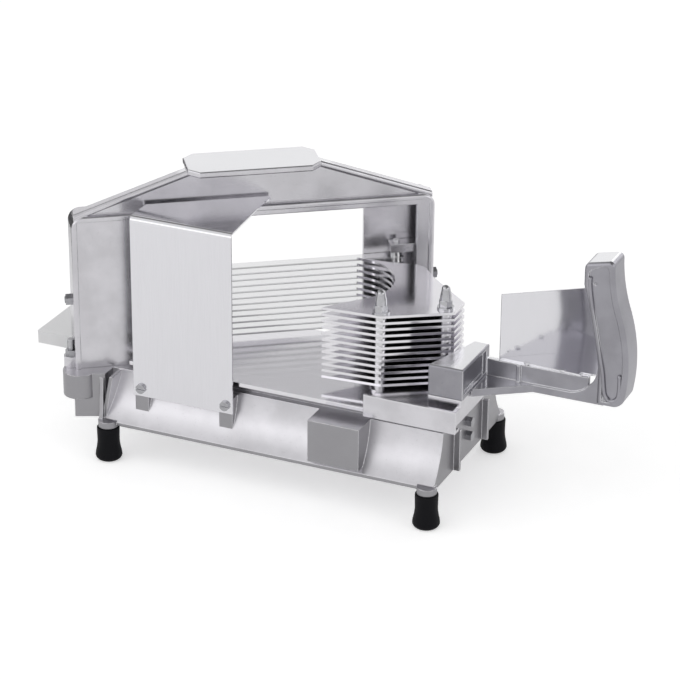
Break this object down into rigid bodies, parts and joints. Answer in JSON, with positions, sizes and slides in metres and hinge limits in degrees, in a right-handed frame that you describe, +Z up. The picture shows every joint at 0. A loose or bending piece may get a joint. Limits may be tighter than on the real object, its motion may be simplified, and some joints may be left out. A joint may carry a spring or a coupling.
{
  "type": "tomato slicer",
  "caption": "Manual push slicer: a sliding pusher with a side handle forces fruit through a slanted bank of fixed blades under a cast arch.",
  "frame": {"origin": "on the table under the middle of the slicer's box at rest", "axes": "+X along the stroke towards the handle, +Y to the back, +Z up"},
  "size_m": [0.445, 0.192, 0.217],
  "materials": {
    "casting": "satin tumbled casting",
    "grip_casting": "satin casting",
    "polished_plate": "polished plate",
    "blade_steel": "ground stainless",
    "steel": "turned stainless",
    "guard_sheet": "smooth stainless sheet",
    "fastener": "plated",
    "board": "white polyethylene",
    "nylon": "natural nylon",
    "rubber": "black moulded rubber"
  },
  "bodies": {
    "base": {"arch_bolts": "fastener", "arch_frame": "casting", "base_casting": "casting", "blade_01": "blade_steel", "blade_02": "blade_steel", "blade_03": "blade_steel", "blade_04": "blade_steel", "blade_05": "blade_steel", "blade_06": "blade_steel", "blade_07": "blade_steel", "blade_08": "blade_steel", "blade_09": "blade_steel", "blade_10": "blade_steel", "blade_11": "blade_steel", "blade_12": "blade_steel", "blade_holder_left": "steel", "blade_holder_right": "steel", "blade_pins": "steel", "blade_spacers": "steel", "board_screws": "fastener", "cutting_board": "board", "deck_plate": "polished_plate", "deck_screws": "fastener", "end_bolts": "fastener", "foot_back_left": "rubber", "foot_back_right": "rubber", "foot_front_left": "rubber", "foot_front_right": "rubber", "front_guard": "guard_sheet", "guard_screws": "fastener", "tension_bolts": "fastener"},
    "pusher": {"cap_nuts": "fastener", "carriage": "casting", "hand_guard": "guard_sheet", "hand_guard_screws": "fastener", "handle_bolts": "fastener", "handle_casting": "grip_casting", "post_spacers": "steel", "post_washers": "steel", "pusher_plate_01": "polished_plate", "pusher_plate_02": "polished_plate", "pusher_plate_03": "polished_plate", "pusher_plate_04": "polished_plate", "pusher_plate_05": "polished_plate", "pusher_plate_06": "polished_plate", "pusher_plate_07": "polished_plate", "pusher_plate_08": "polished_plate", "pusher_plate_09": "polished_plate", "pusher_plate_10": "polished_plate", "pusher_plate_11": "polished_plate", "pusher_plate_12": "polished_plate", "pusher_posts": "steel", "slide_pads": "nylon"}
  },
  "joints": [
    {"name": "pusher_slide", "type": "slide", "parent": "base", "child": "pusher", "axis": [-1, 0, 0], "range_m": [0, 0.16]}
  ]
}
